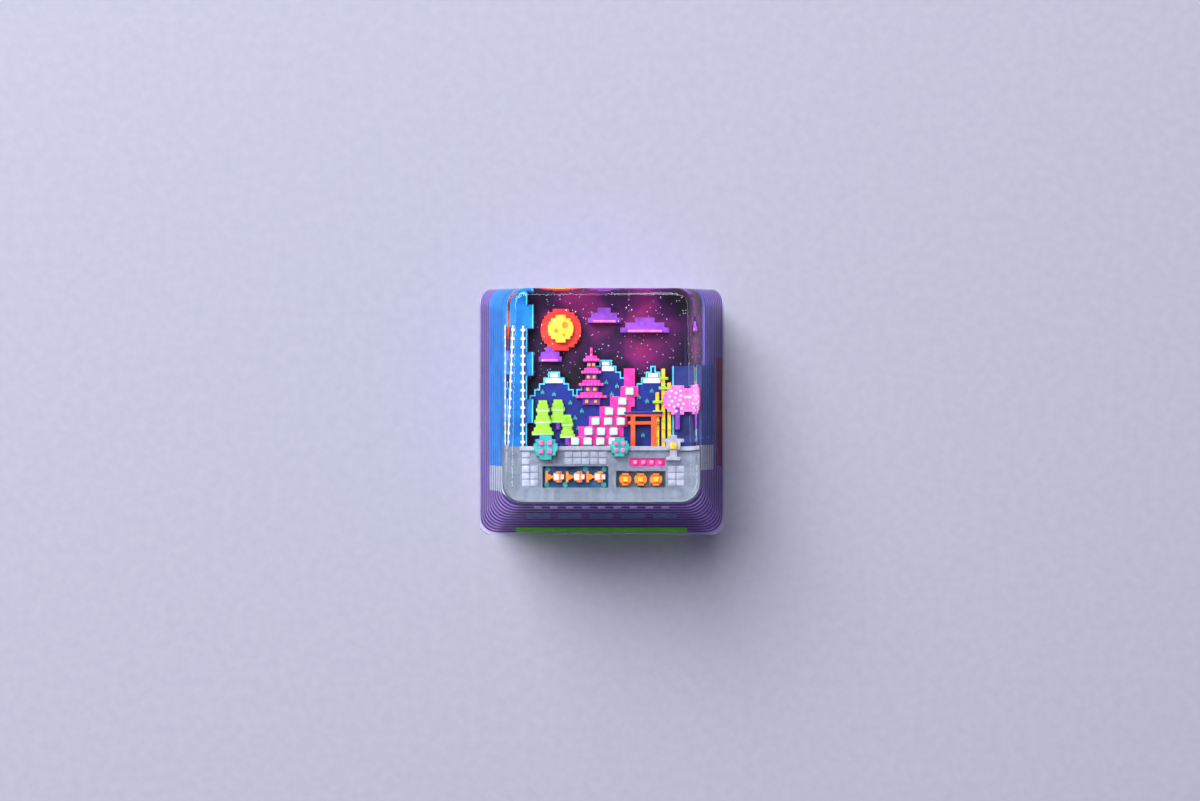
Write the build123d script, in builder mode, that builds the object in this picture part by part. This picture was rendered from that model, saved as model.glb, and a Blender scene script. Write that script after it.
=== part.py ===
from build123d import *
import os
from math import radians, sqrt, tan

# A cast-resin keycap: a smooth clear casting round a terraced core,
# with a relief garden laid in layers on the core.
# Sizes are in millimetres and degrees.
# X runs to the right, Y to the back and Z up, from the middle of the rim.

# Outer form of the clear casting
base_width = 18.1
base_depth = 18.1
base_corner = 0.9
base_edge_break = 0.15
top_width = 12.75  # sharp outline of the top, taken at the height of its back corners
top_depth = 14.4
top_corner = 1.3
top_shift = 1.65  # the top sits this far towards the back
back_height = 11.4  # sharp back corners of the top
top_tilt = 5.0  # fall of the top towards the front
dish_radius = 45.0  # finger hollow across the top
rim_rounding = 0.6

# Terraced core
skin = 0.5  # clear resin outside the edge of each step
step_height = 0.62
base_steps = 5
sky_steps = 10
cliff_steps = 12
terrace_steps = 13

# Hollow for the switch, with the stem post in its middle
hollow_mouth = 14.6
hollow_roof = 12.2
hollow_depth = 5.0
hollow_corner = 0.6
housing_wall = 0.6
roof_thickness = 0.8
stem_diameter = 5.5
stem_recess = 1.2  # the post stops short of the rim
cross_length = 4.1
cross_slot_x = 1.3  # width of the arm that runs along X
cross_slot_y = 1.15  # width of the arm that runs along Y
cross_depth = 3.6
cross_lead_in = 0.15

# Plan of the core above the base, from front to back
apron_steps = 12  # the terrace's top step lies over the apron
apron_thickness = 0.4
terrace_depth = 3.3
valley_width = 10.2
valley_shift = 0.1
right_cliff_length = 5.8
side_notch = 1.5  # the left cliff and the apron reach this far round the terrace's ends
side_notch_offset = 0.95  # from the valley's sides out to those ends
cliff_jog = 0.45  # how far the cliffs' faces step in and out
cliff_jog_length = 1.7
cliff_jogs = 7

# Inlays in the front and the right side of the core
inlay_depth = 0.3
strip_foot = 0.12  # the strips start this far above the rim
lime_strip_length = 12.6
lime_strip_steps = 2
plum_strip_length = 8.0
plum_strip_steps = 3
stone_panel_width = 1.7
stone_panel_pitch = 2.3
stone_panel_count = 5
stone_panel_steps = (6, 8)
peg_width = 0.55
peg_pitch = 1.15
peg_count = 9
peg_steps = (10, 11)

# Mountains across the valley
mountain_thickness = 0.62
meadow_depth = 3.3  # from the terrace to the feet of the peaks
peak_row = 0.42
peak_inset = 0.34  # each row is this much shorter at both ends
peaks = [(-3.5, 3.6, 5), (0.3, 5.0, 7), (3.8, 3.8, 6)]  # middle, foot width and rows of each
ridge_line_width = 0.1
ridge_line_height = 0.12

# Moon and clouds
moon_radius = 1.5
moon_face_radius = 0.95
moon_row = 0.25
moon_thickness = 0.8
moon_face_thickness = 0.4
moon_from_left = 2.0
moon_from_back = 2.4
cloud_row = 0.36
cloud_thickness = 0.7
cloud_rows = [1.0, 0.8, 0.4]  # shares of the cloud's width, from its foot up
cloud_edge = 0.7  # length of the bright edge as a share of the cloud's width
cloud_edge_thickness = 0.3
clouds = [(2.0, 2.6, 3.6), (5.0, 1.9, 2.4), (9.0, 4.7, 1.7)]  # from the right, from the back, width

# River with its stepping stones
river_thickness = 0.3
river_row = 0.72
river_rows = 6
river_source_width = 1.3
river_growth = 0.5  # each row towards the terrace is this much wider
river_drift = 0.52  # and this much further left
river_source_x = 2.05
fall_width = 0.8
fall_length = 1.3
stone_size = 0.6
stone_length = 0.54
stone_height = 0.5
stone_pitch = 0.92

# Pines on the left bank
pine_row = 0.28
pine_tier_rows = 3
pine_taper = 0.62  # width of a tier's top row as a share of its bottom row
pine_tier_taper = 0.78  # width of a tier as a share of the one below
pine_trunk_width = 0.3
pine_trunk_length = 0.5
pines = [  # middle, foot, width, tiers and thickness
    (-4.3, 0.3, 1.6, 3, 0.75),
    (-3.2, 1.2, 1.3, 2, 0.4),
    (-2.5, 0.1, 1.1, 2, 0.6),
]

# Pagoda on the middle peak
pagoda_middle = -0.75
pagoda_foot = 3.0  # above the terrace
pagoda_count = 4
pagoda_taper = 0.8
pagoda_wall_width = 1.3
pagoda_wall_height = 0.48
pagoda_wall_thickness = 0.4
pagoda_roof_width = 2.3
pagoda_roof_height = 0.4
pagoda_roof_step = 0.7
pagoda_roof_thickness = 0.7
pagoda_spire_width = 0.18
pagoda_spire_length = 0.6
pagoda_window = 0.22
pagoda_window_thickness = 0.12

# Gate on the right bank
gate_span = 1.5  # between the middles of the posts
gate_post = 0.32
gate_height = 2.5
gate_beam = 0.34
gate_tie = 0.22
gate_gap = 0.36  # from the top beam to the tie beam
gate_overhang = 0.42
gate_thickness = 0.75
gate_from_right = 2.15

# Bamboo beside the gate
cane_width = 0.26
cane_pitch = 0.44
cane_lengths = [4.6, 5.6, 3.9]  # from the right
cane_thickness = 0.5
leaf_length = 0.7
leaf_width = 0.2
leaf_thickness = 0.22

# Cherry tree on the right cliff
cherry_radius = 1.05
cherry_row = 0.21
cherry_thickness = 0.6
cherry_trunk_width = 0.34
cherry_trunk_length = 1.6
cherry_from_edge = 0.35  # trunk's middle, from the cliff's edge
cherry_foot = 1.2  # above the terrace

# Fence along the left cliff
fence_rail = 0.12
fence_picket_length = 0.34
fence_picket_width = 0.18
fence_pitch = 0.62
fence_count = 14
fence_thickness = 0.3
fence_set_back = 0.3  # from the cliff's edge

# Pond, planter and lantern court, sunk into the terrace
coping_width = 0.32
coping_height = 0.22
pond_width = 4.8
pond_depth = 1.55
pond_recess = 0.9
pond_from_left = 0.7
water_thickness = 0.3
koi_unit = 0.2
koi_thickness = 0.35
koi_pitch = 1.5
koi_count = 3
koi_rows = [4, 2, 1, 3, 4, 4, 2]  # widths in units, from the tail to the nose
planter_width = 2.6
planter_depth = 0.6
planter_recess = 0.5
bed_thickness = 0.3
flower_size = 0.3
flower_pitch = 0.6
flower_count = 4
flower_thickness = 0.25
court_width = 3.6
court_depth = 1.2
court_recess = 0.8
court_from_right = 0.55
lamp_radius = 0.45
lamp_row = 0.15
lamp_pitch = 1.12
lamp_count = 3
lamp_thickness = 0.6
lamp_glow = 0.36
lamp_glow_thickness = 0.2

# Shrubs and stone lantern on the terrace
shrub_thickness = 0.6
shrub_rows = [3, 5, 6, 6, 5, 3]  # widths in units
shrubs_at = [(-4.05, 0.29), (1.3, 0.23)]  # middle and unit of each
shrub_overhang = 0.45  # share of its height past the terrace's back edge
blossom_size = 1.15  # in units
blossom_pitch = 2.1
blossom_thickness = 0.2
lantern_unit = 0.26
lantern_thickness = 0.5
lantern_rows = [4, 2, 2, 4, 4, 6, 2]
lantern_light_row = 4  # rows from the foot to the middle of the light
lantern_middle = 5.2
lantern_overhang = 0.8
lantern_light = 0.46
lantern_light_thickness = 0.2

# Heights that pieces share
base_top = base_steps * step_height
apron_top = apron_steps * step_height
sky_top = sky_steps * step_height
cliff_top = cliff_steps * step_height
terrace_top = terrace_steps * step_height
housing_top = hollow_depth + roof_thickness
mountain_top = sky_top + mountain_thickness
river_top = mountain_top + river_thickness


def core_outline(height):
    # Width, depth, shift to the back and corner of the core's step whose upper edge is at this height
    share = height / back_height
    width = base_width + (top_width - base_width) * share - 2 * skin
    depth = base_depth + (top_depth - base_depth) * share - 2 * skin
    corner = base_corner + (top_corner - base_corner) * share
    return width, depth, top_shift * share, corner


def core_front(height):
    width, depth, shift, corner = core_outline(height)
    return shift - depth / 2


def core_back(height):
    width, depth, shift, corner = core_outline(height)
    return shift + depth / 2


def core_right(height):
    width, depth, shift, corner = core_outline(height)
    return width / 2


def stacked_rows(widths, row):
    # Rectangles one above another, in the sketch that is being drawn, from the current place upwards
    for index, width in enumerate(widths):
        with Locations((0, (index + 0.5) * row)):
            Rectangle(width, row)


def round_rows(radius, row):
    # Row widths of a stepped disc
    count = 2 * round(radius / row)
    middles = [(index + 0.5) * row - count * row / 2 for index in range(count)]
    return [2 * sqrt(max(radius**2 - y**2, (row / 2) ** 2)) for y in middles]


def clear_of(*others):
    # Takes what is already laid out of the part that is being built
    add([other.part for other in others], mode=Mode.SUBTRACT)


# Places that follow from the plan
apron_back = core_front(terrace_top) + apron_thickness
terrace_back = apron_back + terrace_depth
valley_left = valley_shift - valley_width / 2
valley_right = valley_shift + valley_width / 2
valley_back = core_back(sky_top)
peak_foot = terrace_back + meadow_depth
reach = base_width + base_depth  # longer than anything in the plan

# Outer form: a tapered block with rounded corners, a tilted finger hollow and a rounded top edge
with BuildPart() as outer_form:
    with BuildSketch():
        rim_width = base_width - 2 * base_edge_break
        rim_depth = base_depth - 2 * base_edge_break
        RectangleRounded(rim_width, rim_depth, base_corner - base_edge_break)
    with BuildSketch(Plane.XY.offset(base_edge_break)):
        RectangleRounded(base_width, base_depth, base_corner)
    with BuildSketch(Plane.XY.offset(back_height)):
        with Locations((0, top_shift)):
            RectangleRounded(top_width, top_depth, top_corner)
    loft(ruled=True)
    dish_sag = dish_radius - sqrt(dish_radius**2 - (top_width / 2) ** 2)
    dish_start = (0, top_shift + top_depth / 2, back_height - dish_sag + dish_radius)
    dish_plane = Plane(origin=dish_start, x_dir=(1, 0, 0), z_dir=(0, -1, -tan(radians(top_tilt))))
    with BuildSketch(dish_plane):
        Circle(dish_radius)
    extrude(amount=reach, both=True, mode=Mode.SUBTRACT)
    top_face = faces().filter_by(GeomType.CYLINDER).sort_by(SortBy.AREA)[-1]
    fillet(top_face.edges(), rim_rounding)

# Core: steps that follow the outer form inside the clear skin. Pieces are taken out of it zone by zone.
with BuildPart() as core:
    for step in range(terrace_steps):
        width, depth, shift, corner = core_outline((step + 1) * step_height)
        with BuildSketch(Plane.XY.offset(step * step_height)):
            with Locations((0, shift)):
                RectangleRounded(width, depth, corner)
        extrude(amount=step_height)

# Hollow that the switch goes into
with BuildPart() as switch_hollow:
    with BuildSketch():
        RectangleRounded(hollow_mouth, hollow_mouth, hollow_corner)
    with BuildSketch(Plane.XY.offset(hollow_depth)):
        RectangleRounded(hollow_roof, hollow_roof, hollow_corner)
    loft(ruled=True)

# Walls and roof round the hollow, above the base steps
with BuildPart() as housing:
    housing_width = hollow_roof + 2 * housing_wall
    with BuildSketch(Plane.XY.offset(base_top)):
        RectangleRounded(housing_width, housing_width, hollow_corner)
    extrude(amount=housing_top - base_top)

# Inlays in the core: a lime strip at the foot of its front, a plum strip at the foot of its right side,
# and rows of slate panels and pale pegs above the lime strip
with BuildPart() as lime_strip:
    add(core.part)
    lime_strip_top = lime_strip_steps * step_height
    with BuildSketch(Plane.XY.offset(strip_foot)):
        with Locations((0, core_front(lime_strip_top) + inlay_depth)):
            Rectangle(lime_strip_length, reach, align=(Align.CENTER, Align.MAX))
    extrude(amount=lime_strip_top - strip_foot, mode=Mode.INTERSECT)

with BuildPart() as plum_strip:
    add(core.part)
    plum_strip_top = plum_strip_steps * step_height
    with BuildSketch(Plane.XY.offset(strip_foot)):
        with Locations((core_right(plum_strip_top) - inlay_depth, 0)):
            Rectangle(reach, plum_strip_length, align=(Align.MIN, Align.CENTER))
    extrude(amount=plum_strip_top - strip_foot, mode=Mode.INTERSECT)


def front_inlay(steps, width, pitch, count):
    # Keeps a row of blocks of the given steps in the part that is being built
    first, last = steps
    add(core.part)
    with BuildSketch(Plane.XY.offset(first * step_height)) as row:
        with Locations((0, core_front(last * step_height) + inlay_depth)):
            with GridLocations(pitch, 0, count, 1):
                Rectangle(width, reach, align=(Align.CENTER, Align.MAX))
    extrude(row.sketch, amount=(last - first) * step_height, mode=Mode.INTERSECT)


with BuildPart() as slate_panels:
    front_inlay(stone_panel_steps, stone_panel_width, stone_panel_pitch, stone_panel_count)

with BuildPart() as pale_pegs:
    front_inlay(peg_steps, peg_width, peg_pitch, peg_count)

# Front apron of the base, under the terrace's top step, which covers its front and the front of its right end
terrace_left = valley_left - side_notch_offset
terrace_right = valley_right + side_notch_offset
with BuildPart() as apron:
    add(core.part)
    with BuildSketch(Plane.XY.offset(base_top)):
        with Locations((0, apron_back)):
            Rectangle(reach, reach, align=(Align.CENTER, Align.MAX))
        with Locations((terrace_right, apron_back + side_notch)):
            Rectangle(reach, reach, align=(Align.MIN, Align.MAX))
    extrude(amount=apron_top - base_top, mode=Mode.INTERSECT)

# Base casting: lower steps, housing, apron and stem post in one casting
with BuildPart() as base_casting:
    add(core.part)
    with BuildSketch():
        Rectangle(reach, reach)
    extrude(amount=base_top, mode=Mode.INTERSECT)
    add(housing.part)
    add(apron.part)
    clear_of(switch_hollow, lime_strip, plum_strip, slate_panels, pale_pegs)
    with Locations((0, 0, stem_recess)):
        Cylinder(
            stem_diameter / 2,
            hollow_depth - stem_recess,
            align=(Align.CENTER, Align.CENTER, Align.MIN),
        )
    with BuildSketch(Plane.XY.offset(stem_recess)):
        Rectangle(cross_length, cross_slot_x)
        Rectangle(cross_slot_y, cross_length)
    extrude(amount=cross_depth, mode=Mode.SUBTRACT)
    post_end = faces().filter_by_position(Axis.Z, stem_recess, stem_recess)[0]
    chamfer(post_end.edges(), cross_lead_in)


def cliff_face_x(index):
    # Place of one jog of the left cliff's face, counted from the terrace
    return valley_left - (0 if index % 2 else cliff_jog)


# Cliffs on both sides of the valley
with BuildPart() as left_cliff:
    add(core.part)
    with BuildSketch(Plane.XY.offset(base_top)):
        for index in range(cliff_jogs):
            with Locations((cliff_face_x(index), terrace_back + index * cliff_jog_length)):
                Rectangle(reach, cliff_jog_length, align=(Align.MAX, Align.MIN))
        with Locations((terrace_left, terrace_back)):
            Rectangle(reach, side_notch, align=(Align.MAX, Align.MAX))
    extrude(amount=cliff_top - base_top, mode=Mode.INTERSECT)
    clear_of(housing)

with BuildPart() as right_cliff:
    add(core.part)
    with BuildSketch(Plane.XY.offset(base_top)):
        with Locations((valley_right, terrace_back)):
            Rectangle(reach, right_cliff_length, align=(Align.MIN, Align.MIN))
    extrude(amount=cliff_top - base_top, mode=Mode.INTERSECT)
    clear_of(housing)

# Stone terrace across the front, with a pond, a planter and a lantern court sunk into its top
pond_place = (valley_left + pond_from_left + pond_width / 2, apron_back + coping_width + pond_depth / 2)
court_x = valley_right - court_from_right - court_width / 2
court_place = (court_x, apron_back + coping_width + court_depth / 2)
planter_x = valley_right - court_from_right - planter_width / 2
planter_place = (planter_x, court_place[1] + court_depth / 2 + coping_width + planter_depth / 2)
with BuildPart() as stone_terrace:
    add(core.part)
    with BuildSketch(Plane.XY.offset(base_top)):
        with Locations((0, terrace_back)):
            Rectangle(reach, reach, align=(Align.CENTER, Align.MAX))
    extrude(amount=terrace_top - base_top, mode=Mode.INTERSECT)
    with BuildSketch(Plane.XY.offset(terrace_top)):
        with Locations(pond_place):
            Rectangle(pond_width, pond_depth)
    extrude(amount=-pond_recess, mode=Mode.SUBTRACT)
    with BuildSketch(Plane.XY.offset(terrace_top)):
        with Locations(court_place):
            Rectangle(court_width, court_depth)
    extrude(amount=-court_recess, mode=Mode.SUBTRACT)
    with BuildSketch(Plane.XY.offset(terrace_top)):
        with Locations(planter_place):
            Rectangle(planter_width, planter_depth)
    extrude(amount=-planter_recess, mode=Mode.SUBTRACT)
    clear_of(housing, apron, left_cliff)

# Night sky: the floor of the valley, which folds down behind the housing
with BuildPart() as sky_block:
    add(core.part)
    with BuildSketch(Plane.XY.offset(base_top)):
        with Locations((0, terrace_back)):
            Rectangle(reach, reach, align=(Align.CENTER, Align.MIN))
    extrude(amount=sky_top - base_top, mode=Mode.INTERSECT)
    clear_of(housing, left_cliff, right_cliff)


def peak_rows(inset=0, mode=Mode.ADD):
    # Stepped peaks, in the sketch that is being drawn, each edge set in by inset
    for middle, foot_width, rows in peaks:
        for row in range(rows):
            with Locations((middle, peak_foot + row * peak_row - inset)):
                width = foot_width - 2 * peak_inset * row - 2 * inset
                Rectangle(width, peak_row, align=(Align.CENTER, Align.MIN), mode=mode)


# Mountains over the meadow, with a thin line along each ridge
with BuildPart() as mountains:
    with BuildSketch(Plane.XY.offset(sky_top)):
        with Locations((valley_shift, terrace_back)):
            Rectangle(valley_width, meadow_depth, align=(Align.CENTER, Align.MIN))
        peak_rows()
    extrude(amount=mountain_thickness)
    clear_of(left_cliff, right_cliff)

with BuildPart() as ridge_lines:
    with BuildSketch(Plane.XY.offset(mountain_top)):
        peak_rows()
        peak_rows(inset=ridge_line_width, mode=Mode.SUBTRACT)
    extrude(amount=ridge_line_height)
    clear_of(left_cliff, right_cliff)

# Thin lines along the edges of the cliffs
with BuildPart() as cliff_lines:
    with BuildSketch(Plane.XY.offset(cliff_top)):
        for index in range(cliff_jogs):
            x = cliff_face_x(index)
            with Locations((x, terrace_back + index * cliff_jog_length)):
                Rectangle(ridge_line_width, cliff_jog_length, align=(Align.MAX, Align.MIN))
        with Locations((valley_right, terrace_back)):
            Rectangle(ridge_line_width, right_cliff_length, align=(Align.MIN, Align.MIN))
        width, depth, shift, corner = core_outline(cliff_top)
        with Locations((0, shift)):
            RectangleRounded(width, depth, corner, mode=Mode.INTERSECT)
    extrude(amount=ridge_line_height)

# Moon low in the sky, in two layers
moon_place = (valley_left + moon_from_left, valley_back - moon_from_back)
with BuildPart() as moon_rim:
    with BuildSketch(Plane.XY.offset(sky_top)):
        with Locations((moon_place[0], moon_place[1] - moon_radius)):
            stacked_rows(round_rows(moon_radius, moon_row), moon_row)
    extrude(amount=moon_thickness)
    clear_of(left_cliff, mountains, ridge_lines)

with BuildPart() as moon_face:
    with BuildSketch(Plane.XY.offset(sky_top + moon_thickness)):
        with Locations((moon_place[0], moon_place[1] - moon_face_radius)):
            stacked_rows(round_rows(moon_face_radius, moon_row), moon_row)
    extrude(amount=moon_face_thickness)

# Clouds, each with a bright lower edge
cloud_places = [(valley_right - right, valley_back - back, width) for right, back, width in clouds]
with BuildPart() as cloud_banks:
    with BuildSketch(Plane.XY.offset(sky_top)):
        for x, y, width in cloud_places:
            with Locations((x, y)):
                stacked_rows([width * share for share in cloud_rows], cloud_row)
    extrude(amount=cloud_thickness)
    clear_of(left_cliff, mountains, ridge_lines, right_cliff, moon_rim)

with BuildPart() as cloud_edges:
    with BuildSketch(Plane.XY.offset(sky_top + cloud_thickness)):
        for x, y, width in cloud_places:
            with Locations((x, y)):
                Rectangle(width * cloud_edge, cloud_row / 2, align=(Align.CENTER, Align.MIN))
    extrude(amount=cloud_edge_thickness)
    clear_of(moon_rim, moon_face)


def river_row_place(row):
    # Middle and width of a row of the river, counted from its source to the terrace
    y = terrace_back + (river_rows - row - 0.5) * river_row
    return river_source_x - river_drift * row, y, river_source_width + river_growth * row


# River from the saddle between two peaks to the terrace, and the stones across it
with BuildPart() as river:
    with BuildSketch(Plane.XY.offset(sky_top)):
        for row in range(river_rows):
            x, y, width = river_row_place(row)
            with Locations((x, y)):
                Rectangle(width, river_row)
        with Locations((river_source_x, terrace_back + river_rows * river_row)):
            Rectangle(fall_width, fall_length, align=(Align.CENTER, Align.MIN))
    extrude(amount=river_top - sky_top)
    clear_of(mountains, ridge_lines)

with BuildPart() as stepping_stones:
    with BuildSketch(Plane.XY.offset(river_top)):
        for row in range(river_rows):
            x, y, width = river_row_place(row)
            with Locations((x, y)):
                with GridLocations(stone_pitch, 0, int(width // stone_pitch), 1):
                    Rectangle(stone_size, stone_length)
    extrude(amount=stone_height)

# Pines: stepped crowns in tiers, on short trunks
with BuildPart() as pine_crowns:
    for middle, foot, width, tiers, thickness in pines:
        widths = []
        for tier in range(tiers):
            for row in range(pine_tier_rows):
                taper = 1 - (1 - pine_taper) * row / (pine_tier_rows - 1)
                widths.append(width * pine_tier_taper**tier * taper)
        with BuildSketch(Plane.XY.offset(mountain_top)):
            with Locations((middle, terrace_back + foot + pine_trunk_length)):
                stacked_rows(widths, pine_row)
        extrude(amount=thickness)
    clear_of(left_cliff, ridge_lines, river, stepping_stones)

with BuildPart() as pine_trunks:
    for middle, foot, width, tiers, thickness in pines:
        with BuildSketch(Plane.XY.offset(mountain_top)):
            with Locations((middle, terrace_back + foot)):
                Rectangle(pine_trunk_width, pine_trunk_length, align=(Align.CENTER, Align.MIN))
        extrude(amount=thickness)
    clear_of(left_cliff, ridge_lines, river, stepping_stones, pine_crowns)

# Pagoda on the middle peak: walls and roofs tier by tier, with lit windows
pagoda_tiers = []
pagoda_rise = pagoda_wall_height + pagoda_roof_height
for tier in range(pagoda_count):
    share = pagoda_taper**tier
    pagoda_tiers.append((terrace_back + pagoda_foot + tier * pagoda_rise, share))
with BuildPart() as pagoda_walls:
    with BuildSketch(Plane.XY.offset(sky_top)):
        for foot, share in pagoda_tiers:
            with Locations((pagoda_middle, foot)):
                Rectangle(pagoda_wall_width * share, pagoda_wall_height, align=(Align.CENTER, Align.MIN))
    extrude(amount=mountain_thickness + pagoda_wall_thickness)
    clear_of(mountains, ridge_lines, river, stepping_stones, pine_crowns, pine_trunks)

with BuildPart() as pagoda_roofs:
    with BuildSketch(Plane.XY.offset(sky_top)):
        for foot, share in pagoda_tiers:
            roof_width = pagoda_roof_width * share
            with Locations((pagoda_middle, foot + pagoda_wall_height)):
                stacked_rows([roof_width, roof_width * pagoda_roof_step], pagoda_roof_height / 2)
        with Locations((pagoda_middle, pagoda_tiers[-1][0] + pagoda_rise)):
            Rectangle(pagoda_spire_width, pagoda_spire_length, align=(Align.CENTER, Align.MIN))
    extrude(amount=mountain_thickness + pagoda_roof_thickness)
    clear_of(mountains, ridge_lines, river, stepping_stones, pine_crowns, pine_trunks)

with BuildPart() as pagoda_windows:
    with BuildSketch(Plane.XY.offset(mountain_top + pagoda_wall_thickness)):
        for foot, share in pagoda_tiers:
            with Locations((pagoda_middle, foot + pagoda_wall_height / 2)):
                with GridLocations(pagoda_wall_width * share / 2, 0, 2, 1):
                    Rectangle(pagoda_window, pagoda_window)
    extrude(amount=pagoda_window_thickness)

# Gate: two posts, a tie beam and a top beam that overhangs
with BuildPart() as gate:
    gate_width = gate_span + gate_post + 2 * gate_overhang
    beam_foot = gate_height - gate_beam
    with BuildSketch(Plane.XY.offset(mountain_top)):
        with Locations((valley_right - gate_from_right, terrace_back)):
            with GridLocations(gate_span, 0, 2, 1):
                Rectangle(gate_post, beam_foot, align=(Align.CENTER, Align.MIN))
            with Locations((0, beam_foot)):
                Rectangle(gate_width, gate_beam, align=(Align.CENTER, Align.MIN))
            with Locations((0, beam_foot - gate_gap)):
                Rectangle(gate_width - gate_overhang, gate_tie, align=(Align.CENTER, Align.MAX))
    extrude(amount=gate_thickness)
    clear_of(right_cliff, ridge_lines, river, stepping_stones)

# Bamboo canes behind the gate, with leaves across their tips
cane_places = [
    (valley_right - (index + 0.5) * cane_pitch, terrace_back, length)
    for index, length in enumerate(cane_lengths)
]
with BuildPart() as bamboo_canes:
    with BuildSketch(Plane.XY.offset(sky_top)):
        for x, foot, length in cane_places:
            with Locations((x, foot)):
                Rectangle(cane_width, length, align=(Align.CENTER, Align.MIN))
    extrude(amount=mountain_thickness + cane_thickness)
    clear_of(mountains, gate, ridge_lines, river, cloud_banks, right_cliff)

with BuildPart() as bamboo_leaves:
    with BuildSketch(Plane.XY.offset(mountain_top + cane_thickness)):
        for x, foot, length in cane_places:
            with Locations((x, foot + length - leaf_length), (x, foot + length - 2 * leaf_length)):
                Rectangle(leaf_length, leaf_width)
        with Locations((valley_shift, 0)):
            Rectangle(valley_width, reach, mode=Mode.INTERSECT)
    extrude(amount=leaf_thickness)
    clear_of(gate)

# Cherry tree on the right cliff, leaning over the valley
cherry_place = (valley_right + cherry_from_edge, terrace_back + cherry_foot)
with BuildPart() as cherry_trunk:
    with BuildSketch(Plane.XY.offset(cliff_top)):
        with Locations(cherry_place):
            Rectangle(cherry_trunk_width, cherry_trunk_length, align=(Align.CENTER, Align.MIN))
    extrude(amount=cherry_thickness)
    clear_of(cliff_lines)

with BuildPart() as cherry_crown:
    with BuildSketch(Plane.XY.offset(cliff_top)):
        with Locations((cherry_place[0], cherry_place[1] + cherry_trunk_length - cherry_radius / 2)):
            stacked_rows(round_rows(cherry_radius, cherry_row), cherry_row)
    extrude(amount=cherry_thickness)
    clear_of(bamboo_canes, bamboo_leaves, gate, cherry_trunk, cliff_lines)

# Fence along the edge of the left cliff
fence_x = valley_left - cliff_jog - fence_set_back
with BuildPart() as fence:
    with BuildSketch(Plane.XY.offset(cliff_top)):
        with Locations((fence_x, terrace_back + fence_count * fence_pitch / 2)):
            Rectangle(fence_rail, fence_count * fence_pitch)
            with GridLocations(0, fence_pitch, 1, fence_count):
                Rectangle(fence_picket_length, fence_picket_width)
    extrude(amount=fence_thickness)
    clear_of(cliff_lines)

# Coping along the terrace's back edge
with BuildPart() as coping:
    with BuildSketch(Plane.XY.offset(terrace_top)):
        with Locations((terrace_left, terrace_back)):
            Rectangle(core_right(terrace_top) - terrace_left, coping_width, align=(Align.MIN, Align.MAX))
    extrude(amount=coping_height)

# Pond with koi
pond_floor = terrace_top - pond_recess
with BuildPart() as pond_water:
    with BuildSketch(Plane.XY.offset(pond_floor)):
        with Locations(pond_place):
            Rectangle(pond_width, pond_depth)
    extrude(amount=water_thickness)

with BuildPart() as koi:
    koi_length = len(koi_rows) * koi_unit
    with BuildSketch(Plane.XY.offset(pond_floor + water_thickness)):
        with Locations(pond_place):
            with GridLocations(koi_pitch, 0, koi_count, 1):
                with Locations(Location((-koi_length / 2, 0), -90)):
                    stacked_rows([width * koi_unit for width in koi_rows], koi_unit)
    extrude(amount=koi_thickness)

# Flower bed in the planter
bed_floor = terrace_top - planter_recess
with BuildPart() as flower_bed:
    with BuildSketch(Plane.XY.offset(bed_floor)):
        with Locations(planter_place):
            Rectangle(planter_width, planter_depth)
    extrude(amount=bed_thickness)

with BuildPart() as bed_flowers:
    with BuildSketch(Plane.XY.offset(bed_floor + bed_thickness)):
        with Locations(planter_place):
            with GridLocations(flower_pitch, 0, flower_count, 1):
                Rectangle(flower_size, flower_size)
    extrude(amount=flower_thickness)

# Paper lamps in the court, each with a bright middle
court_floor = terrace_top - court_recess
with BuildPart() as paper_lamps:
    with BuildSketch(Plane.XY.offset(court_floor)):
        with Locations((court_place[0], court_place[1] - lamp_radius)):
            with GridLocations(lamp_pitch, 0, lamp_count, 1):
                stacked_rows(round_rows(lamp_radius, lamp_row), lamp_row)
    extrude(amount=lamp_thickness)

with BuildPart() as lamp_glows:
    with BuildSketch(Plane.XY.offset(court_floor + lamp_thickness)):
        with Locations(court_place):
            with GridLocations(lamp_pitch, 0, lamp_count, 1):
                Rectangle(lamp_glow, lamp_glow)
    extrude(amount=lamp_glow_thickness)

# Shrubs that lean over the terrace's back edge, with blossoms on them
with BuildPart() as shrubs:
    for middle, unit in shrubs_at:
        foot = terrace_back - (1 - shrub_overhang) * len(shrub_rows) * unit
        with BuildSketch(Plane.XY.offset(terrace_top)):
            with Locations((middle, foot)):
                stacked_rows([width * unit for width in shrub_rows], unit)
        extrude(amount=shrub_thickness)
    clear_of(coping)

with BuildPart() as blossoms:
    for middle, unit in shrubs_at:
        with BuildSketch(Plane.XY.offset(terrace_top + shrub_thickness)):
            with Locations((middle, terrace_back - (0.5 - shrub_overhang) * len(shrub_rows) * unit)):
                with GridLocations(blossom_pitch * unit, blossom_pitch * unit, 2, 2):
                    Rectangle(blossom_size * unit, blossom_size * unit)
        extrude(amount=blossom_thickness)

# Stone lantern: foot, post, light box, roof and finial in one casting, with a yellow light
lantern_height = len(lantern_rows) * lantern_unit
lantern_foot = terrace_back + lantern_overhang - lantern_height
with BuildPart() as stone_lantern:
    with BuildSketch(Plane.XY.offset(terrace_top)):
        with Locations((lantern_middle, lantern_foot)):
            stacked_rows([width * lantern_unit for width in lantern_rows], lantern_unit)
    extrude(amount=lantern_thickness)
    clear_of(coping)

with BuildPart() as lantern_flame:
    with BuildSketch(Plane.XY.offset(terrace_top + lantern_thickness)):
        with Locations((lantern_middle, lantern_foot + lantern_light_row * lantern_unit)):
            Rectangle(lantern_light, lantern_light)
    extrude(amount=lantern_light_thickness)

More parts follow.
